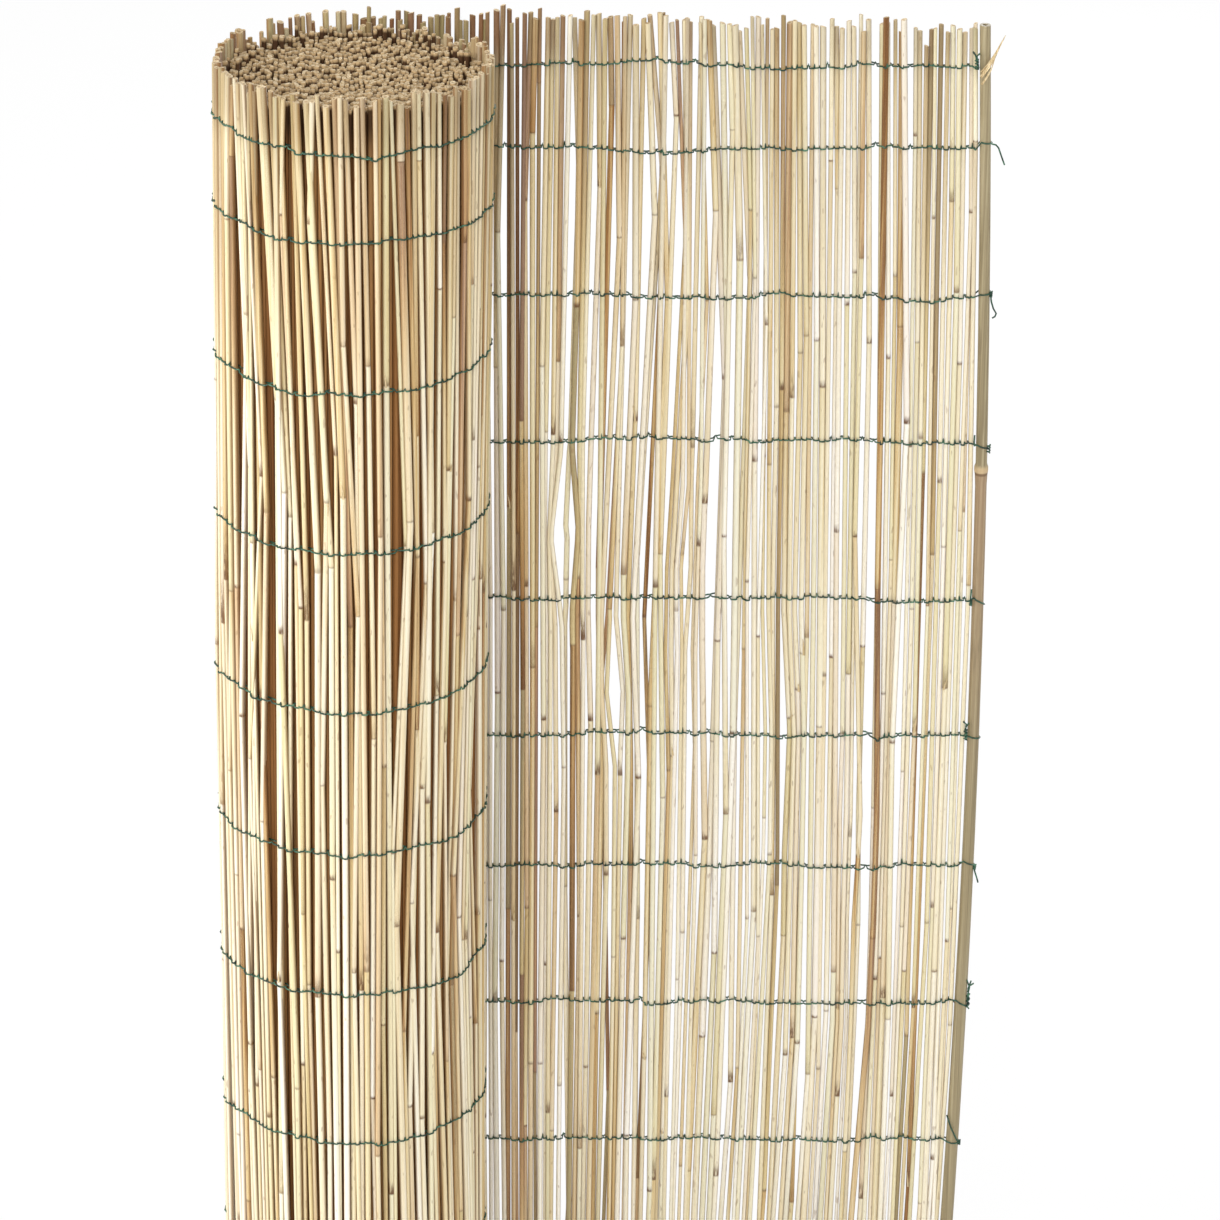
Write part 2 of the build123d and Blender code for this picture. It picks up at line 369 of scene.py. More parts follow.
def stem_rings(middle_at, width, joints, top, foot, bends=()):
    """Rings of a stem from foot to top, their phases between its joints, and the rings at the joints."""
    radius = width / 2
    taper = lots.uniform(-0.10, 0.10)
    marks = [(foot, 1.0, -lots.uniform(0.3, 0.9))]
    for joint, height in enumerate(joint_heights(joints, top)):
        marks += [(height - 0.003, 0.98, joint - 0.015), (height, 1.04, joint)]
    marks.append((top, 1.0, joints - 1 + lots.uniform(0.3, 0.9)))
    known = [[mark[column] for mark in marks] for column in (0, 2)]
    marks += [(bend, 1.0, float(np.interp(bend, *known))) for bend in bends]
    marks.sort()
    rings = []
    for height, swell, _ in marks:
        rings.append((*middle_at(height), height, radius * swell * (1 - taper + 2 * taper * height / top)))
    return rings, [mark[2] for mark in marks], [ring for ring, mark in zip(rings, marks) if mark[1] > 1]


def stem_tone():
    """Shade of one stem: most are pale straw, some tan and a few brown."""
    shades = ((0.70, 1.05), (0.44, 0.74), (0.16, 0.44), (-0.25, 0.10))
    stems_in_hundred = (44, 33, 16, 7)
    return lots.uniform(*lots.choices(shades, stems_in_hundred)[0])


stem_kinds = {}


def stem_kind(ring_count):
    """The stem to copy that has so many rings, modelled when first asked for."""
    if ring_count not in stem_kinds:
        stem_kinds[ring_count] = reed_stem(ring_count, 8, 0.4, reed_skin)
    return stem_kinds[ring_count]


joint_choice = (2, 3, 3, 4, 4)
flap_count = 112
flap_thickness = 0.0034
flap_lean = 0.008
cane_lean = (-0.0048, 0.0350, -0.0387)
partings = (
    (0.134, 0.0085, 0.640, 0.062),
    (0.139, 0.0075, 0.650, 0.058),
    (0.172, 0.0075, 0.530, 0.055),
    (0.219, 0.0035, 0.620, 0.060),
    (0.281, 0.0040, 0.500, 0.090),
    (0.330, 0.0030, 0.360, 0.080),
)
parting_spread = 0.007
tip_places = (0.0, 0.10, 0.13, 0.19, 0.22, 0.34, 0.36, 0.38, 0.41)
tip_rises = (0.0026, 0.0046, 0.0016, 0.0026, -0.0012, -0.0012, -0.0064, -0.0020, -0.0010)
foot_rise = (0.0, 0.003)
stray_share = 0.09
stray_sway = 0.010
stray_layer = 0.0028
flap_sway = 0.0022
flap_layer = (0.0002, 0.0011)
flap_depth = 0.0010
# Share of painted shade on the sides of the flap's stems; the roll's stems take all of it.
flap_side_shade = 0.89
brown_share = 0.50
brown_stems = (24, 42)
brown_tones = (-0.25, 0.25)


def parted(distance, height):
    """How far a stem at a distance along the flap is pushed aside by the partings near it."""
    push = 0.0
    for middle, width, centre, reach in partings:
        away = distance - middle
        opened = max(0.0, 1 - abs(height - centre) / reach)
        push += math.copysign(width / 2, away) * opened * math.exp(-((away / parting_spread) ** 2))
    return push


def flap_edge(height):
    """How far the free end stands out beyond its even place: it bows half-way up and leans in at the foot."""
    return cane_lean[0] + cane_lean[1] * height + cane_lean[2] * height**2


flap_spans = [flap_length + flap_edge(height) for height in stations]
flap_widths, flap_middles = spread_stems(flap_count, flap_thickness, flap_spans, 1.5)
flap_stems = []
flap_lines = []
joint_places = []
for stem in range(flap_count):
    stray = 2 < stem < flap_count - 3 and lots.random() < stray_share
    sway = stray_sway if stray else flap_sway
    layer = lots.choice((-stray_layer, stray_layer)) if stray else lots.uniform(*flap_layer) * (-1) ** stem
    wave = lots.uniform(0, 50)

    def flap_place(height, stem=stem, sway=sway, layer=layer, wave=wave):
        aside = sway * noise.noise(Vector((wave, height * sway_waves, 1.0)))
        depth = flap_depth * noise.noise(Vector((wave, height * depth_waves, 3.0)))
        distance = at_height(flap_middles, stem, height)
        aside += lean(distance, height, flap_lean, 1.5) + parted(distance, height)
        last = flap_length + flap_edge(height) - flap_widths[stem] / 2
        return roll_x + min(distance + aside, last), flap_y + layer + depth

    rise = float(np.interp(flap_middles[-1][stem], tip_places, tip_rises))
    top = reed_length + rise + kept_near(-0.0005, 0.0030, -0.010, 0.006)
    bends = []
    for middle, _, centre, reach in partings:
        if abs(at_height(flap_middles, stem, centre) - middle) < 2 * parting_spread:
            bends += [centre - reach, centre, centre + reach]
    joints = lots.choice(joint_choice)
    foot = lots.uniform(*foot_rise)
    rings, phases, joint_rings = stem_rings(flap_place, flap_widths[stem], joints, top, foot, bends)
    near_roll = float(np.interp(stem, brown_stems, (1.0, 0.0)))
    stain_and_shade = lots.uniform(0.1, 0.7) * (1 - near_roll) + near_roll
    tone = lots.uniform(*brown_tones) if lots.random() < brown_share * near_roll else stem_tone()
    marks = (tone, stain_and_shade, flap_side_shade)
    slant = (lots.uniform(-0.35, 0.35), lots.uniform(-0.2, 0.2))
    strip = (stem, flap_count)
    oval = lots.uniform(0.85, 1.0)
    flap_stems.append(shaped_stem(stem_kind(len(rings)), strip, rings, phases, marks, oval, 0.0, slant))
    flap_lines.append(rings)
    joint_places += [(ring, Vector((0, -1, 0))) for ring in joint_rings]
flap_reeds = joined(flap_stems, "flap_reeds")
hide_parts("reed_mat")
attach(flap_reeds, "root")

# Outer turn reeds
# The same stems where the mat goes once round the outside of the roll. They stand in front of the dark inner
# turns, and their ends rise a little towards the front, where the roll was wound less true.
turn_count = 130
turn_thickness = 0.0037
turn_lean = 0.018
turn_stray_sway = 0.009
turn_stray_layer = 0.0016
turn_sway = 0.0028
turn_layer = (-0.0012, 0.0005)
turn_depth = 0.0009
turn_tones = (0.12, 0.69)
held_ends = 0.02
turn_length = 2 * math.pi * (roll_radius - turn_pitch / 2)
turn_widths, turn_middles = spread_stems(turn_count, turn_thickness, [turn_length] * station_count, 8.5)
front_rise = 0.008
back_rise = 0.0055
sunk_share = 0.20
sunk_angle = 1.68 * math.pi
sunk_drop = (0.005, 0.010)
turn_stems = []
turn_lines = []


def roll_lean(height):
    """How far the roll leans along the mat: it stands a little away from the flap, but not at its top."""
    return float(np.interp(height, (0.6, 1.0), (-0.0022, 0.0012)))


for stem in range(turn_count):
    stray = 2 < stem < turn_count - 3 and lots.random() < stray_share
    sway = turn_stray_sway if stray else turn_sway
    layer = turn_stray_layer if stray else lots.uniform(*turn_layer)
    wave = lots.uniform(0, 50)

    def turn_place(height, stem=stem, sway=sway, layer=layer, wave=wave):
        aside = sway * noise.noise(Vector((wave, height * sway_waves, 1.0)))
        distance = at_height(turn_middles, stem, height)
        hold = min(1.0, distance / held_ends, (turn_length - distance) / held_ends)
        aside += hold * lean(distance, height, turn_lean, 8.5)
        angle = 2 * math.pi * (distance + aside) / turn_length
        depth = turn_depth * noise.noise(Vector((wave, height * depth_waves, 9.0)))
        radius = roll_radius - turn_pitch * angle / (2 * math.pi) + depth + layer
        return roll_x + roll_lean(height) - radius * math.sin(angle), roll_y + radius * math.cos(angle)

    angle = 2 * math.pi * turn_middles[station_count // 2][stem] / turn_length
    to_front = (1 - math.cos(angle)) / 2
    top = reed_length + front_rise * to_front + back_rise * (1 - to_front)
    top += kept_near(-0.001, 0.0014 + 0.0008 * to_front, -0.006, 0.004)
    sunk = to_front < 0.5 and (lots.random() < sunk_share or angle > sunk_angle)
    top -= lots.uniform(*sunk_drop) if sunk else 0.0
    joints = lots.choice(joint_choice)
    foot = lots.uniform(*foot_rise)
    rings, phases, joint_rings = stem_rings(turn_place, turn_widths[stem], joints, top, foot)
    # Stems towards the back of the roll take more stain, as painted shade on the rim's inner faces; all of
    # the roll's stems take full painted shade on their sides.
    stain_and_shade = lots.uniform(0.2, 0.7) * to_front + lots.uniform(0.5, 1.0) * (1 - to_front)
    marks = (turn_tones[0] + turn_tones[1] * stem_tone(), stain_and_shade, 1.0)
    slant = (lots.uniform(-0.3, 0.3), lots.uniform(-0.3, 0.3))
    strip = (stem, turn_count)
    turn_stems.append(shaped_stem(stem_kind(len(rings)), strip, rings, phases, marks, 1.0, angle, slant))
    turn_lines.append(rings)
    outward = Vector((-math.sin(angle), math.cos(angle), 0))
    joint_places += [(ring, outward) for ring in joint_rings]
outer_turn_reeds = joined(turn_stems, "outer_turn_reeds")
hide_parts("reed_mat")
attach(outer_turn_reeds, "root")

# Inner turn reeds
# All the stems wound up inside the roll. Only their cut ends show: crushed to ovals by the winding, turned
# every way, packed tight and standing a little lower than the outer turn. Their sides are brown, partly their
# dust and partly painted shade.
inner_drop = 0.0075
inner_spacing = 0.0031
inner_pitch = 0.0035
inner_width = 0.0029
core_radius = 0.004
inner_wander = 0.0009
inner_front_rise = 0.012
inner_hollow = 0.005
loose_band = 0.016
loose_share = 0.35
loose_rise = 0.007


def inner_reed_skin():
    """Side of the stems inside the roll: brown, partly dust and partly painted shade, darkest near the top as
    painted shade, and pale just under the cut.
    """
    material, tree, skin = start_material("inner reed")
    coordinates = add_node(tree, "ShaderNodeTexCoord").outputs["Object"]
    streak = grain(tree, coordinates, 500.0, 6.0)
    shade = maths(tree, "MULTIPLY_ADD", attribute(tree, "tone"), 0.5, maths(tree, "MULTIPLY", streak, 0.5))
    # The brown of the sides is partly dust and partly painted shade inside the roll.
    dust_and_shade = ramp(tree, shade, [
        (0.1, linear(94, 57, 25)),
        (0.5, linear(136, 92, 49)),
        (0.9, linear(178, 136, 87)),
    ])
    share = attribute(tree, "knot")
    # Painted shade: near the top the sides turn darkest brown, for the shade in the gaps between the packed
    # ends.
    colour = blend(tree, fade(tree, share, 0.960, 0.990, 0.0, 0.9), dust_and_shade, linear(56, 35, 17))
    colour = blend(tree, fade(tree, share, 0.9970, 0.9995, 0.0, 0.9), colour, linear(200, 170, 126))
    tree.links.new(colour, skin.inputs["Base Color"])
    skin.inputs["Roughness"].default_value = 0.75
    skin.inputs["Specular IOR Level"].default_value = 0.2
    return material


inner_stem = reed_stem(2, 7, 0.45, inner_reed_skin())
inner_places = []
angle = 0.0
while roll_radius - turn_pitch - inner_pitch * angle / (2 * math.pi) > core_radius:
    radius = roll_radius - turn_pitch - inner_pitch * angle / (2 * math.pi)
    inner_places.append((radius + lots.uniform(-inner_wander, inner_wander), angle))
    angle += inner_spacing / radius
inner_stems = []
for number, (radius, angle) in enumerate(inner_places):
    x = roll_x - radius * math.sin(angle)
    y = roll_y + radius * math.cos(angle)
    width = inner_width * kept_near(1.0, 0.16, 0.7, 1.4)
    to_front = max(0.0, (roll_y - y) / roll_radius)
    top = reed_length - inner_drop + inner_front_rise * to_front**2 + kept_near(0, 0.0015, -0.004, 0.003)
    if radius > roll_radius - loose_band and to_front == 0.0 and lots.random() < loose_share:
        top += lots.uniform(0.0, loose_rise)
    foot = lots.uniform(*foot_rise)
    rings = [(x + roll_lean(height), y, height, width / 2) for height in (foot, top)]
    slant = (lots.uniform(-0.25, 0.25), lots.uniform(-0.25, 0.25))
    oval = lots.uniform(0.68, 1.0)
    marks = (lots.random(), 0.0, 1.0)
    strip = (number, len(inner_places))
    turn = lots.uniform(0, math.pi)
    shape = (oval, turn, slant, inner_hollow)
    inner_stems.append(shaped_stem(inner_stem, strip, rings, [0.0, 1.0], marks, *shape))
inner_turn_reeds = joined(inner_stems, "inner_turn_reeds")
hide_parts("reed_mat")
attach(inner_turn_reeds, "root")
for kind in (*stem_kinds.values(), inner_stem):
    bpy.data.objects.remove(kind)

# End cane
# A thin bamboo cane sewn in as the last stem, to stiffen the mat's free edge. It tapers upwards, has one
# raised joint with a dark scar, is sawn square at the top, and bows a little with the edge of the mat.
cane_low, cane_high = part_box("end_cane")
cane_foot_radius = (cane_high[0] - cane_low[0]) / 2
cane_top_radius = 0.0035
cane_top = reed_length - 0.0015
cane_x = (cane_low[0] + cane_high[0]) / 2
cane_y = (cane_low[1] + cane_high[1]) / 2
cane_joint = 0.693
cane_sides = 20
cane_bow_steps = 14
cane_hollow = 0.012
cane_joint_swell = (
    (-0.012, 0.0),
    (-0.004, 0.00035),
    (-0.001, 0.0008),
    (0.0015, 0.0008),
    (0.004, 0.0),
    (0.012, 0.0),
)


def cane_radius(height):
    return cane_foot_radius + (cane_top_radius - cane_foot_radius) * height / reed_length


def cane_place(height):
    return cane_x + flap_edge(height), cane_y


def bamboo_skin():
    """Dry bamboo: olive tan with fine fibres, grey stains, pinkish brown under the joint."""
    material, tree, skin = start_material("bamboo cane")
    coordinates = add_node(tree, "ShaderNodeTexCoord").outputs["Object"]
    height = add_node(tree, "ShaderNodeSeparateXYZ", {0: coordinates}).outputs[2]
    fibres = grain(tree, coordinates, 900.0, 5.0, 3.0)
    colour = ramp(tree, fibres, [
        (0.25, linear(122, 108, 79)),
        (0.5, linear(151, 137, 105)),
        (0.75, linear(177, 164, 132)),
    ])
    below = maths(tree, "MULTIPLY", fade(tree, height, cane_joint - 0.25, cane_joint), 0.5)
    below = maths(tree, "MULTIPLY", below, fade(tree, height, cane_joint + 0.002, cane_joint))
    colour = blend(tree, below, colour, linear(164, 130, 102))
    distance = maths(tree, "ABSOLUTE", maths(tree, "SUBTRACT", height, cane_joint))
    colour = blend(tree, fade(tree, distance, 0.004, 0.001, 0.0, 0.7), colour, linear(206, 180, 138))
    scar = maths(tree, "ABSOLUTE", maths(tree, "SUBTRACT", height, cane_joint - 0.003))
    colour = blend(tree, fade(tree, scar, 0.0016, 0.0004, 0.0, 0.8), colour, linear(104, 78, 54))
    stains = fade(tree, grain(tree, coordinates, 240.0, 26.0, 3.0), 0.56, 0.72, 0.0, 0.5)
    colour = blend(tree, stains, colour, linear(124, 108, 82))
    tree.links.new(colour, skin.inputs["Base Color"])
    bump = add_node(tree, "ShaderNodeBump", {"Height": fibres, "Strength": 0.3, "Distance": 0.0005})
    tree.links.new(bump.outputs[0], skin.inputs["Normal"])
    skin.inputs["Roughness"].default_value = 0.48
    skin.inputs["Specular IOR Level"].default_value = 0.35
    return material


bpy.ops.object.select_all(action="DESELECT")
bpy.ops.mesh.primitive_circle_add(
    vertices=cane_sides, radius=cane_foot_radius, fill_type="NGON", location=(*cane_place(0), 0)
)
end_cane = bpy.context.object
end_cane.name = "cane"
cane_swell = {cane_joint + offset: swell for offset, swell in cane_joint_swell}
cane_heights = [cane_top * step / cane_bow_steps for step in range(1, cane_bow_steps + 1)]
cane_heights = [height for height in cane_heights if abs(height - cane_joint) > 0.02]
bpy.ops.object.mode_set(mode="EDIT")
bpy.ops.mesh.select_all(action="SELECT")
last_height = 0.0
last_radius = cane_foot_radius
for height in sorted(cane_heights + list(cane_swell)):
    radius = cane_radius(height) + cane_swell.get(height, 0.0)
    step = (flap_edge(height) - flap_edge(last_height), 0.0, height - last_height)
    bpy.ops.mesh.extrude_region_move(TRANSFORM_OT_translate={"value": step})
    ratio = radius / last_radius
    bpy.ops.transform.resize(value=(ratio, ratio, 1.0), center_override=(*cane_place(height), height))
    last_height = height
    last_radius = radius
bpy.ops.mesh.inset(thickness=cane_top_radius * 0.55)
bpy.ops.mesh.extrude_region_move(TRANSFORM_OT_translate={"value": (0, 0, -cane_hollow)})
bpy.ops.mesh.select_all(action="SELECT")
bpy.ops.mesh.normals_make_consistent(inside=False)
bpy.ops.object.mode_set(mode="OBJECT")
bpy.ops.object.transform_apply(location=True, rotation=True, scale=True)
bpy.ops.object.shade_smooth_by_angle(angle=math.radians(40))
end_cane.data.materials.append(bamboo_skin())
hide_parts("end_cane")
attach(end_cane, "root")

# Stitch wires
# Rows of thin green coated wire across the mat. Each is laid double like a seam, one leg before the stems and
# one behind them, and they catch each other with a nip in the slits between. At the cane the front leg goes
# round it into the back one, beside a knot whose cut tails stand out.
millimetre = 0.001
wire_radius = 0.00056
row_drift = (
    (-0.0024, 0.0007),
    (-0.0014, 0.0),
    (0.0017, 0.0040),
    (0.0044, 0.0007),
    (-0.0055, -0.0060),
    (-0.0007, -0.0034),
    (0.0051, -0.0014),
    (0.0048, -0.0060),
    (0.0007, -0.0030),
    (0.0, 0.0),
    (0.0, 0.0),
)
row_wander = 0.0034
row_ripple = 0.0022
level_step = 0.0009
flap_nips = (0.36, 0.0012, 0.0032)
roll_nips = (0.20, 0.0012, 0.0020)
low_nip = (0.0002, 0.0010)
cane_crossing = (
    (0, 0),
    (5, 4),
    (2, 3),
    (-1, -4),
    (3, -3),
    (0, -2),
    (4, 0),
    (0, -6),
    (-2, -3),
    (0, -1),
    (0, -1),
)
wire_tails = {
    0: (
        ((-5.0, -4.2, 0), (-5.6, -4.6, 4), (-6.6, -4.8, 9), (-8.6, -4.8, 12)),
        ((-5.4, -4.4, 1), (-5.2, -5.0, 6), (-6.2, -5.2, 9), (-4.2, -5.4, 11)),
    ),
    1: (((3.6, -2.4, 4), (6.5, -3.0, 3.5), (8.2, -3.2, 1.5), (10.2, -3.2, -4), (12.4, -3.0, -10)),),
    2: (
        (
            (3.8, -1.6, 3),
            (4.6, -2.2, -3),
            (6.0, -2.6, -7.5),
            (8.0, -2.8, -11),
            (7.2, -3.0, -13),
            (5.4, -3.2, -14),
        ),
    ),
    3: (((-5.0, -4.2, -1), (-5.4, -4.6, 2), (-5.2, -4.8, 7)),),
    4: (((-5.0, -4.4, -2), (-5.2, -4.8, 3), (-4.9, -4.9, 10)),),
    5: (
        ((-5.4, -4.4, -2), (-5.6, -5.0, 4), (-5.4, -5.0, 10), (-7.4, -5.2, 12)),
        ((-5.2, -4.6, 0), (-6.0, -5.2, 6), (-5.0, -5.4, 9), (-3.8, -5.6, 11)),
    ),
    6: (((4.0, -1.8, -1), (4.8, -2.6, -4), (6.4, -3.0, -9), (7.2, -3.2, -12)),),
    7: (
        ((4.2, -1.8, -6), (5.0, -2.4, 2), (4.6, -2.6, 9), (6.4, -2.6, 15)),
        ((4.6, -2.0, -5), (4.2, -3.0, 3), (5.4, -3.0, 10), (3.4, -3.0, 16)),
        ((4.4, -2.2, 6), (5.6, -2.4, 11), (8.2, -2.6, 13)),
    ),
    8: (((-4.8, -4.6, 20), (-1.5, -5.4, 10), (2.5, -4.6, 1), (4.4, -1.8, -3)),),
}
tie_knots = {
    0: ((-5.6, -4.7, 1), (-6.0, -4.9, 7), 0.9),
    2: ((4.0, -1.5, 0), (4.2, -1.5, 4), 0.8),
    3: ((4.3, -1.6, -7), (4.4, -1.6, -1), 1.1),
    4: ((-5.1, -4.6, -2), (-5.0, -4.8, 2), 0.7),
    5: ((-5.4, -4.8, -2), (-5.6, -5.0, 6), 1.0),
    6: ((4.2, -1.6, -3), (4.6, -1.8, 1), 0.9),
    7: ((4.6, -2.2, -7), (4.8, -2.4, 5), 1.0),
    8: ((4.5, -1.6, -5), (4.6, -1.6, -1), 0.8),
    9: ((4.5, -1.6, -3), (4.6, -1.6, 2), 0.8),
    10: ((4.6, -1.6, -3), (4.7, -1.6, 1), 0.8),
}
knot_steps = 24
knot_turns = 3


def coated_wire():
    """Dark green plastic coat with a dull gloss, a little bleached in places."""
    material, tree, skin = start_material("coated wire")
    coordinates = add_node(tree, "ShaderNodeTexCoord").outputs["Object"]
    worn = speckle(tree, coordinates, 260.0)
    colour = ramp(tree, worn, [
        (0.3, linear(10, 36, 26)),
        (0.52, linear(26, 70, 50)),
        (0.75, linear(84, 128, 100)),
    ])
    tree.links.new(colour, skin.inputs["Base Color"])
    skin.inputs["Roughness"].default_value = 0.45
    return material


wire_coat = coated_wire()


def winding(place):
    """Angle of a place on the roll, wound from the back over the left."""
    return math.atan2(roll_x - place[0], place[1] - roll_y) % (2 * math.pi)


def stem_across(rings, z):
    """Middle and radius of a stem at a height, on its straight stretch between two rings."""
    x, y, heights, radii = zip(*rings)
    middle = Vector((np.interp(z, heights, x), np.interp(z, heights, y), 0))
    return middle, float(np.interp(z, heights, radii))


def row_stems(z):
    """Stems that one row holds, in order from the cane, with the way out of the mat at each."""
    flap = [stem_across(rings, z) for rings in flap_lines]
    turn = [stem_across(rings, z) for rings in turn_lines]
    flap.sort(key=lambda stem: -stem[0].x)
    turn.sort(key=lambda stem: winding(stem[0]))
    stems = [(middle, radius, Vector((0, 1, 0)), 0.0) for middle, radius in flap]
    for middle, radius in turn:
        outward = (middle - Vector((roll_x + roll_lean(z), roll_y, 0))).normalized()
        stems.append((middle, radius, outward, min(winding(middle), 1.0)))
    return stems


def row_height(row, z, share, point):
    """Height of a row at a point: its own drift on the flap and the roll, and its slow and quick waver."""
    flap_drift, roll_drift = row_drift[row]
    wander = row_wander * noise.noise(Vector((point.x * 14, point.y * 14, row * 7.7)))
    wander += row_ripple * noise.noise(Vector((point.x * 60, point.y * 60, row * 3.1)))
    return z + flap_drift + (roll_drift - flap_drift) * share + wander


def laid_on(point, outward, stems):
    """Nearest place outwards from a point where a wire lies on the stems and not in them."""
    lift = 0.0
    for middle, radius, *_ in stems:
        away = point - middle
        out = away.dot(outward)
        aside = (away - outward * out).length
        if aside < radius and abs(out) < 4 * radius:
            lift = max(lift, math.sqrt(radius**2 - aside**2) + wire_radius - out)
    return point + outward * lift


def stitched_legs(row, z):
    """Points of a row's two legs, before and behind the stems, from the cane to the end of the turn."""
    stems = row_stems(z)
    legs = ([], [])
    level = 0.0
    for stem, (here, there) in enumerate(zip(stems, stems[1:])):
        on_flap = here[3] == 0.0
        near = [other for other in stems[max(0, stem - 3) : stem + 5] if (other[3] == 0.0) == on_flap]
        high_share, *high_nip = flap_nips if on_flap else roll_nips
        nip_range = high_nip if lots.random() < high_share else low_nip
        nip = lots.uniform(*nip_range)
        next_level = level * 0.6 + lots.uniform(-level_step, level_step)
        for t, hold, lift in ((0.0, 1.0, 0.0), (0.36, 0.9, 0.0), (0.5, 0.5, 1.0), (0.64, 0.9, 0.0)):
            middle = here[0].lerp(there[0], t)
            outward = here[2].lerp(there[2], t).normalized()
            radius = here[1] * (1 - t) + there[1] * t + wire_radius
            height = row_height(row, z, here[3], middle) + (next_level if t > 0.5 else level)
            for leg, side in zip(legs, (-1, 1)):
                point = laid_on(middle + outward * radius * hold * side, outward * side, near)
                rise = nip * lift * (0.4 if here[2].y * side > 0.5 else 1.0)
                leg.append((point.x, point.y, height + rise))
        level = next_level
    return legs


def from_cane(z, offset):
    """Place given in millimetres from the cane's axis: along the mat, into it and up."""
    middle_x, middle_y = cane_place(z)
    x, y, up = [value * millimetre for value in offset]
    return middle_x + x, middle_y + y, z + up


def wire_loop(row, z, start, end):
    """Turn of a row round the cane from front leg to back leg; the top row only hooks round its last reed."""
    if row == 0:
        return [from_cane(z, offset) for offset in ((-4.6, -4.2, 0), (-4.2, 0.0, 0), (-4.6, 4.2, 0))]
    left, right = cane_crossing[row]
    reach = cane_radius(z) + wire_radius
    middle_x, middle_y = cane_place(z)
    points = []
    for step in range(9):
        turn = math.radians(-135 + 270 * step / 8)
        share = min(step / 4, 1.0)
        up = (left * (1 - share) + right * share) * millimetre
        x = middle_x + reach * math.cos(turn)
        y = middle_y + reach * math.sin(turn)
        points.append((x, y, (start + end) / 2 + up))
    return points


def wire_knot(low, high, reach):
    """Close turns of wire wound from a low to a high place."""
    low = Vector(low)
    axis = Vector(high) - low
    points = []
    for step in range(knot_steps + 1):
        turn = 2 * math.pi * knot_turns * step / knot_steps
        aside = Vector((math.cos(turn), math.sin(turn), 0)) * reach * millimetre
        points.append(tuple(low + axis * step / knot_steps + aside))
    return points


def wire_piece(lines, name):
    """Round wire along each of these lines, as one mesh."""
    curve = bpy.data.curves.new(name, "CURVE")
    curve.dimensions = "3D"
    curve.bevel_depth = wire_radius
    curve.bevel_resolution = 1
    curve.use_fill_caps = True
    for line in lines:
        spline = curve.splines.new("POLY")
        spline.points.add(len(line) - 1)
        for point, place in zip(spline.points, line):
            point.co = (*place, 1.0)
    piece = bpy.data.objects.new(name, curve)
    bpy.context.collection.objects.link(piece)
    bpy.ops.object.select_all(action="DESELECT")
    piece.select_set(True)
    bpy.context.view_layer.objects.active = piece
    bpy.ops.object.convert(target="MESH")
    bpy.ops.object.shade_smooth()
    return bpy.context.object


wire_rows = sorted(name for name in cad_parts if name.startswith("stitch_wire"))
for row, node in enumerate(wire_rows):
    low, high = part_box(node)
    z = (low[2] + high[2]) / 2
    front, back = stitched_legs(row, z)
    end_z = (front[0][2] + back[0][2]) / 2
    lines = [list(reversed(front)) + wire_loop(row, end_z, front[0][2], back[0][2]) + back]
    lines += [[from_cane(end_z, offset) for offset in tail] for tail in wire_tails.get(row, ())]
    if row in tie_knots:
        knot_low, knot_high, reach = tie_knots[row]
        lines.append(wire_knot(from_cane(end_z, knot_low), from_cane(end_z, knot_high), reach))
    wire = wire_piece(lines, f"wire_{row + 1:02d}")
    wire.data.materials.append(wire_coat)
    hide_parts(node)
    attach(wire, "root")

# Leaf scraps
# Dry scraps of the leaves that clasped the stems: short husks left at some joints, and three blades caught
# under the wire at the top of the cane.
scrap_thickness = 0.0002
scrap_steps = 6
husk_count = 50
husk_reach = (0.005, 0.013)
husk_curl = (0.0005, 0.0022)
husk_aside = 0.002
husk_width = (0.0008, 0.0016)


def dry_leaf():
    """Papery straw with fine ribs."""
    material, tree, skin = start_material("dry leaf")
    coordinates = add_node(tree, "ShaderNodeTexCoord").outputs["Object"]
    ribs = grain(tree, coordinates, 1500.0, 40.0, 2.0)
    colour = ramp(tree, ribs, [
        (0.25, linear(160, 132, 92)),
        (0.5, linear(205, 183, 141)),
        (0.8, linear(234, 219, 184)),
    ])
    tree.links.new(colour, skin.inputs["Base Color"])
    skin.inputs["Roughness"].default_value = 0.7
    skin.inputs["Specular IOR Level"].default_value = 0.2
    return material


leaf_skin = dry_leaf()
bpy.ops.object.select_all(action="DESELECT")
bpy.ops.mesh.primitive_plane_add(size=1.0, location=(0, 0, 0))
scrap_kind = bpy.context.object
bpy.ops.object.mode_set(mode="EDIT")
bpy.ops.mesh.select_all(action="SELECT")
bpy.ops.transform.translate(value=(0, 0.5, 0))
bpy.ops.mesh.bisect(plane_co=(0, 0.5, 0), plane_no=(1, 0, 0))
for step in range(1, scrap_steps):
    bpy.ops.mesh.select_all(action="SELECT")
    bpy.ops.mesh.bisect(plane_co=(0, step / scrap_steps, 0), plane_no=(0, 1, 0))
bpy.ops.object.mode_set(mode="OBJECT")
scrap_kind.data.materials.append(leaf_skin)


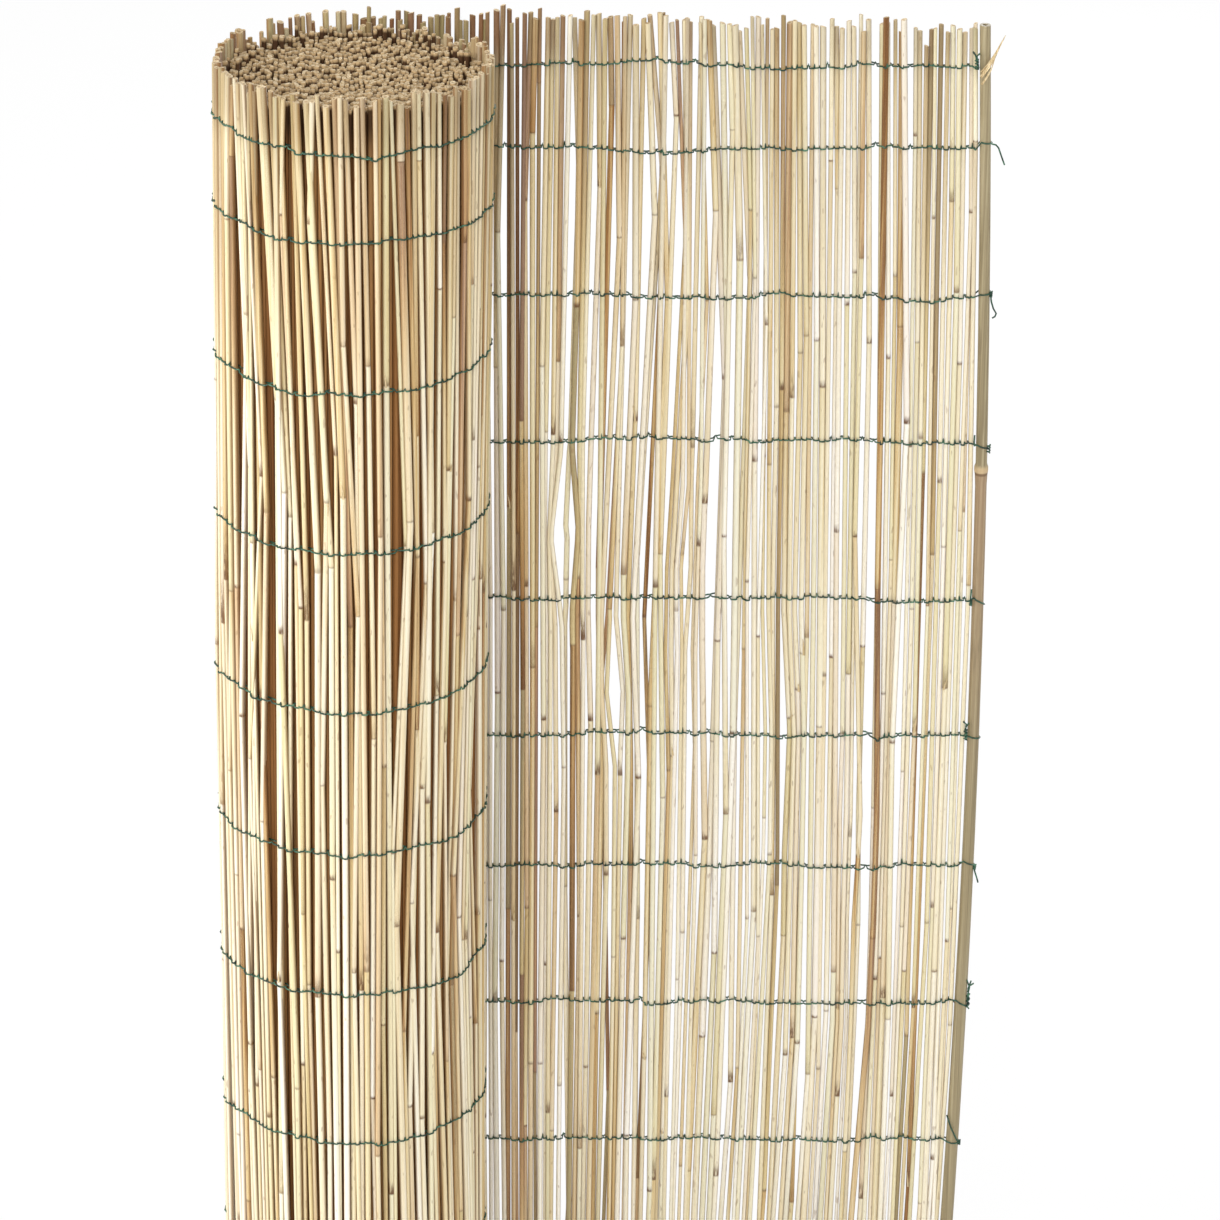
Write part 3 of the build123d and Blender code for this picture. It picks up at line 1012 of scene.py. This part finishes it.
def leaf_scrap(points, side, width):
    """Blade along a line of points, folded a little along its rib and drawn to a tip at its far end."""
    piece = bpy.data.objects.new("scrap", scrap_kind.data.copy())
    bpy.context.collection.objects.link(piece)
    points = [Vector(point) for point in points]
    face = side.cross(points[-1] - points[0]).normalized()
    for vertex in piece.data.vertices:
        share = vertex.co.y * (len(points) - 1)
        low = min(int(share), len(points) - 2)
        middle = points[low].lerp(points[low + 1], share - low)
        own = width * (1 - 0.85 * vertex.co.y**2)
        vertex.co = middle + side * vertex.co.x * own + face * abs(vertex.co.x) * own * 0.5
    bpy.ops.object.select_all(action="DESELECT")
    piece.select_set(True)
    bpy.context.view_layer.objects.active = piece
    wall = piece.modifiers.new("wall", "SOLIDIFY")
    wall.thickness = scrap_thickness
    wall.offset = 0.0
    bpy.ops.object.modifier_apply(modifier="wall")
    return piece


scraps = []
for ring, outward in lots.sample(joint_places, husk_count):
    x, y, height, radius = ring
    side = Vector((0, 0, 1)).cross(outward).normalized()
    reach = lots.uniform(*husk_reach)
    foot = Vector((x, y, height - 0.001)) + outward * radius * 0.9 + side * lots.uniform(-0.5, 0.5) * radius
    curl = outward * lots.uniform(*husk_curl) + side * lots.uniform(-husk_aside, husk_aside)
    middle = foot + Vector((0, 0, reach * 0.5)) + curl * 0.3
    tip = foot + Vector((0, 0, reach)) + curl
    scraps.append(leaf_scrap((foot, middle, tip), side, lots.uniform(*husk_width)))
blade_height = reed_length - 0.034
for offsets, width in (
    (((-2.6, -3.9, 2), (1.5, -5.4, 8), (5.5, -4.8, 15), (11.4, -4.2, 27)), 0.0022),
    (((-3.2, -3.9, -1), (0.6, -5.4, 5), (4.0, -4.9, 10), (8.6, -4.6, 21)), 0.0020),
    (((-2.4, -3.9, -6), (0.4, -5.2, -1), (3.0, -4.9, 4), (5.4, -4.6, 12)), 0.0013),
):
    line = [from_cane(blade_height, offset) for offset in offsets]
    scraps.append(leaf_scrap(line, Vector((0.85, 0, -0.5)).normalized(), width))
leaf_scraps = joined(scraps, "leaf_scraps")
bpy.ops.object.shade_smooth_by_angle(angle=math.radians(50))
bpy.data.objects.remove(scrap_kind)
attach(leaf_scraps, "root")

# Camera, light and floor
# The photograph looks down on the standing mat from a little above, with a long lens. Soft light falls from
# the front and the left, weaker from the right, and from behind through the reeds. The floor stays white.
camera_place = Vector((-0.0703, -3.4391, 2.2375))
camera_yaw = math.radians(1.21)
camera_pitch = math.radians(25.05)
camera_roll = math.radians(0.777)
camera_lens = 174.2
camera_data = bpy.data.cameras.new("camera")
camera_data.lens = camera_lens
camera_data.sensor_width = 36.0
camera_data.clip_end = 50.0
camera = bpy.data.objects.new("camera", camera_data)
bpy.context.collection.objects.link(camera)
level = Matrix.Rotation(-camera_yaw, 4, "Z") @ Matrix.Rotation(math.radians(90) - camera_pitch, 4, "X")
camera.matrix_world = Matrix.Translation(camera_place) @ level @ Matrix.Rotation(camera_roll, 4, "Z")
bpy.context.scene.camera = camera


def soft_lamp(name, place, aim, size, power):
    lamp = bpy.data.lights.new(name, "AREA")
    lamp.shape = "DISK"
    lamp.size = size
    lamp.energy = power
    lamp_object = bpy.data.objects.new(name, lamp)
    bpy.context.collection.objects.link(lamp_object)
    lamp_object.location = place
    lamp_object.rotation_euler = (Vector(aim) - Vector(place)).to_track_quat("-Z", "Y").to_euler()


def show_white(tree):
    """1 on rays that show a surface as itself, in the picture or a gloss, and 0 on rays that light others."""
    path = add_node(tree, "ShaderNodeLightPath")
    seen = maths(tree, "MAXIMUM", path.outputs["Is Camera Ray"], path.outputs["Is Glossy Ray"])
    return maths(tree, "MAXIMUM", seen, path.outputs["Is Transmission Ray"])


soft_lamp("key", (-0.5, -3.0, 2.4), (0.0, 0.0, 0.55), 1.0, 52.0)
soft_lamp("left fill", (-2.5, -0.9, 1.4), (-0.1, 0.0, 0.5), 1.4, 53.0)
soft_lamp("right fill", (2.2, -2.2, 1.6), (0.1, 0.0, 0.5), 1.8, 20.0)
soft_lamp("back light", (0.8, 2.6, 1.6), (0.05, 0.0, 0.5), 2.0, 48.0)

bpy.ops.object.select_all(action="DESELECT")
bpy.ops.mesh.primitive_plane_add(size=16.0, location=(0, 2.0, 0))
floor = bpy.context.object
floor.name = "floor"
floor_white = 0.94
floor_material, floor_tree, floor_skin = start_material("pale floor")
floor_skin.inputs["Base Color"].default_value = (0.93, 0.93, 0.93, 1.0)
floor_skin.inputs["Roughness"].default_value = 0.9
white = add_node(floor_tree, "ShaderNodeEmission", {"Color": (1, 1, 1, 1), "Strength": 1.0})
shown = maths(floor_tree, "MULTIPLY", show_white(floor_tree), floor_white)
mixed = add_node(floor_tree, "ShaderNodeMixShader", {0: shown})
floor_tree.links.new(floor_skin.outputs[0], mixed.inputs[1])
floor_tree.links.new(white.outputs[0], mixed.inputs[2])
floor_tree.links.new(mixed.outputs[0], floor_tree.nodes["Material Output"].inputs["Surface"])
floor.data.materials.append(floor_material)

world = bpy.data.worlds.new("studio")
bpy.context.scene.world = world
world.use_nodes = True
surround = world.node_tree.nodes["Background"]
surround.inputs["Color"].default_value = (1.0, 1.0, 1.0, 1.0)
daylight_strength = 0.46
daylight = fade(world.node_tree, show_white(world.node_tree), 0.0, 1.0, daylight_strength, 1.0)
world.node_tree.links.new(daylight, surround.inputs["Strength"])
bpy.context.scene.view_settings.view_transform = "Standard"
